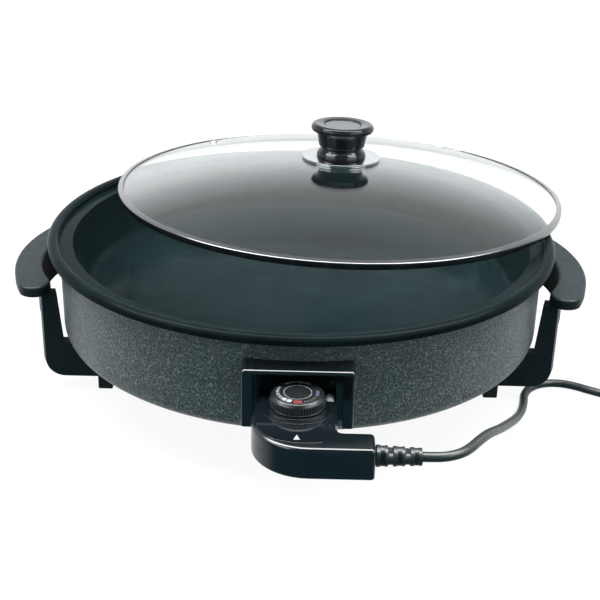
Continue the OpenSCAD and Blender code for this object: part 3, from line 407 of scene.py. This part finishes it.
def rounded_copy(name, source, body, material, steps):
    """A piece in a CAD node's place, with its edges rounded. steps are (radius, segments, test)."""
    bm = bmesh.new()
    bm.from_mesh(node[source].data)
    bmesh.ops.remove_doubles(bm, verts=bm.verts, dist=WELD)
    bmesh.ops.dissolve_limit(bm, angle_limit=math.radians(FLAT), verts=bm.verts, edges=bm.edges)
    for radius, segments, test in steps:
        picked = []
        for e in bm.edges:
            if len(e.link_faces) != 2 or e.calc_face_angle(0) < math.radians(SHARP):
                continue
            a, b = (v.co for v in e.verts)
            mid = (a + b) / 2 * 1000
            mid.y -= PAN_Y * 1000
            if test(mid, (a - b).length * 1000, e):
                picked.append(e)
        bmesh.ops.bevel(bm, geom=picked, offset=radius / 1000, offset_type="OFFSET", segments=segments,
                        profile=0.5, affect="EDGES", clamp_overlap=True)
    return mesh_piece(name, bm, body, material, (source,))


# Cord. It leaves the strain relief, falls beside the pan and ends in a loose coil of two layers.
CORD_R = 3.5
COIL_X, COIL_Y, COIL_R, COIL_STEP, TURNS = 325, -104, 44, 8, 3.25
PLUG_AT = (369, -160, 18.5)


def coil_point(t):
    h = TURNS / 2
    r = COIL_R - COIL_STEP * (h - abs(t - h))
    s = min(max((t - h) / 0.5 + 0.5, 0), 1)
    a = math.radians(90 - 360 * t)
    return (COIL_X + r * math.cos(a), COIL_Y + r * math.sin(a), CORD_R + 8 * s * s * (3 - 2 * s))


route = [
    (82.5, -268, 70.5), (89.5, -268, 70.5), (97, -267.3, 70.5), (104.4, -264.6, 70.4),
    (110.9, -259.8, 70), (116.5, -252.6, 69), (122, -242.6, 67), (128, -230, 63.3),
    (134.7, -214.6, 57.3), (141.6, -197.9, 49.5), (148.6, -180.3, 41), (156.3, -159.6, 31.2),
    (164.2, -138.8, 21.9), (171.7, -119.6, 13.9), (178.4, -101.9, 7.9), (183.5, -86.9, 4.5),
    (187, -73.3, 3.5), (190.2, -59.8, 3.5), (197.2, -48.4, 3.5), (208.2, -41.2, 3.5),
    (221.2, -39.6, 3.5), (233.8, -43.2, 3.5), (245.5, -50, 3.5), (258, -56.6, 3.5), (272, -60, 3.5),
    (288, -60, 3.5), (303, -60, 3.5), (318, -60, 3.5),
]
route += [coil_point(i / 16) for i in range(int(TURNS * 16) + 1)]
route += [(369, -111, 11.5), (369, -117, 11.5), (369, -127, 13), (369, -139, 16), (369, -151, 18.2),
          PLUG_AT, (369, -164, 18.5)]

curve = bpy.data.curves.new("mains_cord", "CURVE")
curve.dimensions = "3D"
curve.bevel_depth = CORD_R / 1000
curve.bevel_resolution = 3
curve.resolution_u = 5
curve.use_fill_caps = True
line = curve.splines.new("BEZIER")
line.bezier_points.add(len(route) - 1)
for b, p in zip(line.bezier_points, route):
    b.co = P(*p)
    b.handle_left_type = b.handle_right_type = "AUTO"
line.use_smooth = True
mains_cord = bpy.data.objects.new("mains_cord", curve)
scene.collection.objects.link(mains_cord)
curve.materials.append(MAT["cord_black"])
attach(mains_cord, "thermostat")
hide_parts("cord", "cord_coil", "cord_tail")

# Strain relief: three blocks on a core. Slots above and below lie between the blocks, and slots at
# the two sides lie in the middle of each block, so that it bends both ways.
RELIEF_X, RELIEF_Y, RELIEF_Z = 51.5, -268, 70.5
RELIEF_LENGTH, RELIEF_STEPS, BLOCKS, BLOCK_PITCH = 31, 124, 3, 11.17
BLOCK_AT, BLOCK_HALF, SLOT_AT, SLOT_HALF = 4.6, 4.0, 4.9, 1.45


def step(t):
    t = max(0.0, min(1.0, t))
    return t * t * (3 - 2 * t)


def inside(x, first, half, soft):
    """1 within half of a block's or slot's middle, 0 outside, and soft at its ends."""
    return max(step((half - abs(x - first - BLOCK_PITCH * j)) / soft + 0.5) for j in range(BLOCKS))


rings = []
for i in range(RELIEF_STEPS + 1):
    x = RELIEF_LENGTH * i / RELIEF_STEPS
    between = inside(x, BLOCK_AT, BLOCK_HALF, 0.5)
    within = 1 - inside(x, SLOT_AT, SLOT_HALF, 0.9)
    core = 3.9 + 0.004 * x
    ring = []
    for a in turns(64):
        up, side = math.sin(a) ** 2, math.cos(a) ** 2
        full = 1 - up ** 1.3 * (1 - between) - side ** 1.3 * (1 - within)
        square = (abs(math.cos(a)) ** 5 + abs(math.sin(a)) ** 5) ** -0.2
        block = (7.5 - 0.05 * x) * (0.82 + 0.18 * square / 1.23)
        r = core + (block - core) * max(0.0, full)
        ring.append(P(RELIEF_X + x, RELIEF_Y + r * math.cos(a), RELIEF_Z + r * math.sin(a)))
    rings.append(ring)
mesh_piece("strain_relief_ribs", loft(rings), "thermostat", "cord_black", ("strain_relief",), angle=50)

# Plug: ribbed neck, round body with a groove at each side
PLUG_GROOVE_FROM, PLUG_GROOVE_HALF, PLUG_GROOVE_R = 36, 3.1, 16.5
plug_place = Matrix.Translation(P(*PLUG_AT)) @ Matrix.Rotation(math.radians(90), 4, "X")
plug_profile = fillet([
    (3.6, 0, 0), (6, 0, 1.2), (7.0, 5, 0), (8.0, 12, 0), (8.7, 16, 0), (11.5, 20, 3), (16.5, 25, 4),
    (18.4, 30, 6), (17.4, 42, 12), (18.4, 52, 3), (18.4, 56, 1.6), (3, 56, 0),
], closed=False, n=4)


def plug_ring(r, z):
    ring = []
    for a in turns(144):
        groove = z > PLUG_GROOVE_FROM and abs(math.cos(a)) * r < PLUG_GROOVE_HALF
        ring.append(turned(plug_place, min(r, PLUG_GROOVE_R) if groove else r, a, z))
    return ring


plug = mesh_piece("plug_moulding", loft([plug_ring(r, z) for r, z in plug_profile]), "thermostat",
                  "plug_black", ("plug_body",), angle=40)
for j in range(4):
    z, r = 3.2 + 3.6 * j, 6.6 + 0.42 * j
    profile = fillet([(r - 1, z, 0), (r + 0.9, z, 0.5), (r + 0.9, z + 1.7, 0.5), (r - 1, z + 1.7, 0)], n=3)
    mesh_piece(f"plug_collar_{j + 1}", lathe(profile, 48, plug_place), "thermostat",
                              "plug_black")

# Tie round the coil: a loop whose two rims are drawn in a little
TIE_T = 0.75
tie_line = fillet([
    (-28.0, 0.25, 3.4), (-44.2, 0.25, 3.4), (-44.2, 9.0, 3.0), (-42.0, 15.4, 3.6), (-34.0, 15.6, 3.6),
    (-28.0, 8.0, 3.0),
], n=6)
mid_y = sum(p[0] for p in tie_line) / len(tie_line)
mid_z = sum(p[1] for p in tie_line) / len(tie_line)


def tie_ring(dx, grow):
    ring = []
    for y, z in tie_line:
        d = Vector((y - mid_y, z - mid_z))
        d = d * (1 + (grow - TIE_T) / d.length)
        ring.append(P(COIL_X + dx, COIL_Y + mid_y + d.x, max(0.05, mid_z + d.y)))
    return ring


tie_rings = [tie_ring(*at) for at in ((-4.2, 0.0), (-4.2, 0.55), (-3.8, TIE_T), (3.8, TIE_T),
                                      (4.2, 0.55), (4.2, 0.0))]
coil_tie = mesh_piece("coil_tie", loft(tie_rings + tie_rings[:1], caps=False), "thermostat",
                      "rubber_foot", slot="cord_black")


# Guard, handles, feet. Each test picks edges by the middle m, the length and the edge e.
GUARD_FRONT, GUARD_TOP, GUARD_SIDE, GUARD_LOW = -216, 103.5, 39.5, 59.3
MOUTH_TOP, MOUTH_SIDE = 100.5, 31.5
GRIP_TOP, GRIP_LOW, LEG_LOW, BRACKET_IN, ARM_TOP, FOOT_TOP = 95.5, 94, 12.2, 206.4, 42, 11.5


def near(a, b, by=0.25):
    return abs(a - b) < by


def guard_outer(m, length, e):
    front, top, side = near(m.y, GUARD_FRONT), near(m.z, GUARD_TOP), near(abs(m.x), GUARD_SIDE)
    return length > 3 and (front and (top or side) or top and side)


def guard_inner(m, length, e):
    mouth = near(abs(m.x), MOUTH_SIDE) or near(m.z, MOUTH_TOP) or m.z < GUARD_LOW
    return length > 3 and near(m.y, GUARD_FRONT) and mouth


def grip_rim(m, length, e):
    return e.is_convex and near(m.z, GRIP_TOP) and length > 0.3


def bracket_edges(m, length, e):
    outward = math.hypot(m.x, m.y) > BRACKET_IN or m.z < ARM_TOP
    return e.is_convex and length > 1.0 and LEG_LOW < m.z < GRIP_LOW and outward


def foot_rim(m, length, e):
    return e.is_convex and length > 5 and m.z < FOOT_TOP


rounded_copy("guard_hood", "terminal_guard", "pan", "bakelite_gloss",
             [(2.6, 6, guard_outer), (0.7, 3, guard_inner)])
for side in ("left", "right"):
    rounded_copy(side + "_bracket", side + "_handle", "pan", "handle_bakelite",
                 [(2.4, 5, grip_rim), (0.9, 3, bracket_edges)])
rounded_copy("rubber_feet", "foot_pads", "pan", "rubber_foot", [(1.1, 3, foot_rim)])


# Thermostat case
CASE_TOP, CASE_SEAM, CASE_LOW = 81.5, 70.5, 59
CASE_BACK, CASE_SEAM_FROM, CASE_ROUND_FROM, TOP_SIDE, LOW_SIDE = -204, -230, -234, 26.9, 26.5
COLLAR_LOW, COLLAR_TOP = 82.3, 83.1


def case_rim(m, length, e):
    return e.is_convex and near(m.z, CASE_TOP, 0.1) and m.y < CASE_ROUND_FROM


def case_side(m, length, e):
    return (e.is_convex and near(m.z, CASE_TOP, 0.1) and CASE_ROUND_FROM < m.y < CASE_BACK
            and abs(m.x) > TOP_SIDE)


def case_seam(m, length, e):
    outside = m.y < CASE_SEAM_FROM or abs(m.x) > LOW_SIDE
    return e.is_convex and near(m.z, CASE_SEAM, 0.05) and outside


def collar_rims(m, length, e):
    return e.is_convex and (near(m.z, COLLAR_LOW, 0.05) or near(m.z, COLLAR_TOP, 0.05))


def base_rim(m, length, e):
    outside = m.y < CASE_ROUND_FROM or abs(m.x) > LOW_SIDE
    return e.is_convex and near(m.z, CASE_LOW, 0.05) and outside and length > 0.8


rounded_copy("case_top", "control_top", "thermostat", "case_black",
             [(6.0, 9, case_rim), (0.45, 2, case_side), (0.3, 2, case_seam), (0.35, 2, collar_rims)])
rounded_copy("case_base", "control_base", "thermostat", "case_black",
             [(1.6, 4, base_rim), (0.3, 2, case_seam)])

tongue_line = [(-25.4, -207, 1.5), (-25.8, -223, 5), (-28.2, -234, 6), (-27.6, -252, 14),
               (-17.5, -268.3, 16), (0, -272.8, 24), (17.0, -272.0, 3.4), (17.2, -252, 14),
               (24.4, -236, 8), (25.2, -207, 1.5)]
lens_line = [(19.3, -218.4, 0.8), (25.1, -218.4, 1.0), (25.1, -207.6, 3.4), (19.3, -207.6, 0.8)]
lens_face_line = [(20.3, -217.2, 0.5), (24.1, -217.2, 0.6), (24.1, -208.8, 2.4), (20.3, -208.8, 0.5)]
for name, outline, z0, z1, top_r, material, slot, stands_for in (
    ("case_tongue", tongue_line, 81.45, 81.74, 0.2, "tongue_gloss", "case_black", ()),
    ("lamp_window", lens_line, 79.3, 82.6, 0.8, "lens_grey", "lens_grey", ("pilot_lens",)),
    ("lamp_window_face", lens_face_line, 82.4, 82.66, 0.2, "lens_face", "lens_grey", ()),
):
    mesh_piece(name, plate(lambda g: shrunk(outline, g), z0, z1, top_r), "thermostat", material,
               stands_for, slot)

# Dial: a cap with 64 fine ribs, a plate on it and the prints on the plate
DIAL_Y, DIAL_LOW, DIAL_TOP, RIBS, RIB_DEPTH, PLATE_R = -224.5, 83.4, 92.3, 64, 0.42, 15.95
INK_LOW, INK_HIGH = DIAL_TOP - 0.12, DIAL_TOP - 0.06
dial_place = Matrix.Translation(P(0, DIAL_Y, DIAL_LOW))
dial_profile = (
    (17.8, 0.0, 0), (19.1, 0.0, 0), (19.45, 0.3, 0), (19.45, 0.9, 0), (19.3, 1.0, 1), (19.3, 1.8, 1),
    (19.25, 3.0, 1), (19.2, 4.4, 1), (19.15, 5.7, 1), (19.0, 6.2, 0.6), (18.75, 6.6, 0), (18.2, 7.3, 0),
    (17.6, 8.0, 0), (17.25, 8.4, 0), (16.95, 8.56, 0), (16.5, 8.6, 0), (16.2, 8.6, 0), (16.0, 8.45, 0),
)
dial_rings = [
    [turned(dial_place, r - RIB_DEPTH * ribbed * (0.5 - 0.5 * math.cos(RIBS * a)) ** 1.4, a, z)
     for a in turns(384)]
    for r, z, ribbed in dial_profile
]
mesh_piece("dial_knob", loft(dial_rings), "dial", "dial_black", ("dial_cap",), angle=50)


def plate_edge(g):
    return [((PLATE_R - g) * math.cos(a), DIAL_Y + (PLATE_R - g) * math.sin(a)) for a in turns(96)]


mesh_piece("dial_plate", plate(plate_edge, 91.8, DIAL_TOP - 0.1, 0.25), "dial", "dial_plate",
           ("dial_scale",))


def print_piece(name, bm, material):
    mesh_piece(name, bm, "dial", material, slot="print_white", weighted=False)


def printed(name, r0, r1, a0, a1, material, grow=0.0):
    """A thin printed field on the dial between two radii and two angles."""
    n = max(3, int(abs(a1 - a0) / 3))
    outer, inner = [], []
    for i in range(n + 1):
        t = i / n
        a = math.radians(a0 + (a1 - a0) * t)
        outer.append((r1 * math.cos(a), DIAL_Y + r1 * math.sin(a)))
        rr = r0 - grow * t
        inner.append((rr * math.cos(a), DIAL_Y + rr * math.sin(a)))
    edge = outer + inner[::-1]
    print_piece(name, loft([[P(x, y, z) for x, y in edge] for z in (INK_LOW, INK_HIGH)]), material)


ring_line = [(9.2, INK_LOW), (9.9, INK_LOW), (9.9, INK_HIGH), (9.2, INK_HIGH)]
print_piece("print_inner_ring", lathe(ring_line, 96, Matrix.Translation(P(0, DIAL_Y, 0))), "print_silver")
printed("print_back_arc", 13.9, 14.7, 52, 128, "print_white")
for j in range(6):
    a = 150 + 17.5 * j
    printed(f"print_heat_{j + 1}", 14.9 - 1.5 - 0.42 * j, 14.9, a, a + 14.5,
            "print_silver" if j < 4 else "print_white", 0.35)
printed("print_off_mark", 11.3, 15.2, 258, 283, "print_red")
for j in range(5):
    a = 289 + 9.5 * j
    printed(f"print_tick_{j + 1}", 12.7, 14.6, a, a + 4.2, "print_dim")
printed("print_right_arc", 12.4, 14.8, 340, 372, "print_blue")

# Lid. It lies tilted and pushed back. The band's inner edge crosses the rim's seat at two places.
LID_OFF, LID_AZ, LID_TILT = 92, math.radians(69), math.radians(3)
SEAT_R, SEAT_Z, BAND_IN, BAND_OUT, BAND_T = 206, 126.3, 193.5, 198, 0.7
GLASS_R, GLASS_RISE, GLASS_T, GLASS_HOLE, GLASS_LOW, GLASS_STEPS, FIT = 197, 29.5, 4, 4, 0.8, 64, 0.12
meet = (SEAT_R ** 2 - BAND_IN ** 2 + LID_OFF ** 2) / (2 * LID_OFF)
lid_z = SEAT_Z - (LID_OFF - meet) * math.tan(LID_TILT)
LID = (Matrix.Translation(P(LID_OFF * math.cos(LID_AZ), LID_OFF * math.sin(LID_AZ), lid_z))
       @ Matrix.Rotation(LID_AZ, 4, "Z") @ Matrix.Rotation(LID_TILT, 4, "Y")
       @ Matrix.Rotation(-LID_AZ, 4, "Z"))
dome_r = (GLASS_R ** 2 + GLASS_RISE ** 2) / (2 * GLASS_RISE)
dome_z = GLASS_LOW - math.sqrt(dome_r ** 2 - GLASS_R ** 2)


def glass_over(r):
    return dome_z + math.sqrt((dome_r + GLASS_T) ** 2 - r * r)


def glass_under(r):
    return dome_z + math.sqrt(dome_r ** 2 - r * r)


def lid_piece(name, profile, n, place, material, stands_for, slot=None, angle=40):
    return mesh_piece(name, lathe(profile, n, place), "lid", material, (stands_for,), slot, angle, False)


radii = [GLASS_HOLE + (GLASS_R - GLASS_HOLE) * k / GLASS_STEPS for k in range(GLASS_STEPS + 1)]
glass_line = [(r, glass_under(r)) for r in radii] + [(r, glass_over(r)) for r in radii[::-1]]
dome = lid_piece("glass_dome", glass_line, 256, LID, "clear_glass", "lid_glass")
dome.visible_shadow = False

band_r = BAND_OUT - BAND_T
band_top = glass_over(band_r) + FIT + BAND_T
lip_top = glass_over(BAND_IN) + FIT
band_line = fillet([
    (BAND_IN, 0, 0.3), (BAND_OUT, 0, 1.5), (BAND_OUT, band_top, 0.6), (BAND_IN, lip_top + BAND_T, 0.3),
    (BAND_IN, lip_top, 0.1), (band_r, band_top - BAND_T, 0.9), (band_r, BAND_T, 0.9), (BAND_IN, BAND_T, 0.1),
], n=6)
lid_piece("rim_band", band_line, 300, LID, "band_steel", "lid_rim_band", "polished_steel")

saucer_top = glass_over(0) + 1.2
saucer_line = fillet([
    (2.6, glass_over(2.6) + 0.05, 0), (18, glass_over(18) + 0.05, 0), (34.9, glass_over(34.9) + 0.05, 0.15),
    (34.95, saucer_top - 0.1, 0.12), (34.6, saucer_top, 0.2), (31, saucer_top - 0.2, 8),
    (24, saucer_top - 0.1, 8), (2.6, saucer_top, 0),
], n=4)
lid_piece("saucer", saucer_line, 160, LID, "polished_steel", "knob_saucer")

knob_place = LID @ Matrix.Translation((0, 0, saucer_top / 1000))
knob_line = fillet([
    (5.1, 0, 0), (21.8, 0, 0.3), (22.0, 1.6, 0.8), (21.3, 3.6, 2.0), (19.8, 5.6, 2.0), (18.5, 6.9, 1.0),
    (18.5, 8.2, 0.6), (19.4, 9.1, 0.4), (20.5, 9.9, 0.8), (21.2, 14.0, 20), (22.4, 20.9, 1.4),
    (24.4, 22.5, 1.6), (27.2, 23.1, 1.8), (28.0, 25.9, 2.4), (26.6, 28.9, 2.2), (24.2, 29.5, 2.2),
    (19.0, 29.1, 2.5), (16.5, 28.5, 0.6), (16.15, 27.1, 0), (16.15, 27.0, 0), (5.1, 26.9, 0),
], closed=False, n=5)
lid_piece("knob_moulding", knob_line, 160, knob_place, "knob_bakelite", "knob", angle=45)
inlay_line = fillet([
    (0.01, 27.1, 0), (15.9, 27.1, 0.1), (15.9, 27.85, 0.3), (14.6, 27.95, 0.4), (14.0, 27.75, 1),
    (0.01, 27.8, 0),
], closed=False, n=3)
lid_piece("knob_badge_blank", inlay_line, 120, knob_place, "inlay_grey", "knob_inlay", angle=45)

# Stage: a plain floor that is white by its own glow and isn't mirrored in the object
bm = bmesh.new()
bmesh.ops.create_grid(bm, x_segments=2, y_segments=2, size=9)
floor_mesh = bpy.data.meshes.new("floor")
bm.to_mesh(floor_mesh)
bm.free()
floor = bpy.data.objects.new("floor", floor_mesh)
scene.collection.objects.link(floor)
floor.location = (0, 1.5, -0.0002)
shade("floor_white", (0.035, 0.035, 0.035), 0.8, spec=0.1, mottle=0.004, grain=0.02)
glow = MAT["floor_white"].node_tree.nodes["Principled BSDF"].inputs
glow["Emission Color"].default_value = (1, 1, 1, 1)
glow["Emission Strength"].default_value = 0.92
floor_mesh.materials.append(MAT["floor_white"])
floor.visible_glossy = False

scene.view_settings.view_transform = "Standard"


# The studio: bright at the horizon and behind the object, darker overhead, blue-green in front
def sky(n, l, direction, axis, stops):
    """Brightness of the studio along one axis of the direction, from -1 to 1."""
    part = n.new("ShaderNodeSeparateXYZ")
    l.new(direction, part.inputs[0])
    return ramp(n, l, span(n, l, part.outputs[axis], 0, 1, -1, 1), stops)


FRONT = (0.12, 0.27, 0.33)
world = bpy.data.worlds.new("studio")
scene.world = world
world.use_nodes = True
wn, wl = world.node_tree.nodes, world.node_tree.links
direction = wn.new("ShaderNodeTexCoord").outputs["Generated"]
height = sky(wn, wl, direction, "Z", [(0.0, 0.55), (0.50, 0.62), (0.56, 0.95), (0.63, 1.0), (0.68, 0.75),
                                      (0.74, 0.45), (0.90, 0.25), (1.0, 0.15)])
depth = sky(wn, wl, direction, "Y", [(0.0, FRONT), (0.38, FRONT), (0.50, 0.75), (0.66, 1.0), (1.0, 1.0)])
walls = mixed(wn, wl, height, depth, blend="MULTIPLY")
wl.new(mixed(wn, wl, walls, (0.95, 0.985, 1.0), blend="MULTIPLY"), wn["Background"].inputs["Color"])
wn["Background"].inputs["Strength"].default_value = 1.75


def softbox(name, place, target, size, size_y, power):
    data = bpy.data.lights.new(name, "AREA")
    data.shape = "RECTANGLE"
    data.size, data.size_y, data.energy = size, size_y, power
    o = bpy.data.objects.new(name, data)
    scene.collection.objects.link(o)
    o.location = place
    o.rotation_euler = (Vector(target) - Vector(place)).to_track_quat("-Z", "Y").to_euler()


softbox("overhead", (0.0, -0.1, 1.4), (0, -0.1, 0.0), 3.2, 0.8, 190)
softbox("front_left", (-1.35, -0.85, 0.95), (0, 0, 0.12), 1.5, 0.75, 22)
softbox("front_right", (1.35, -0.85, 0.95), (0, 0, 0.12), 1.5, 0.75, 22)
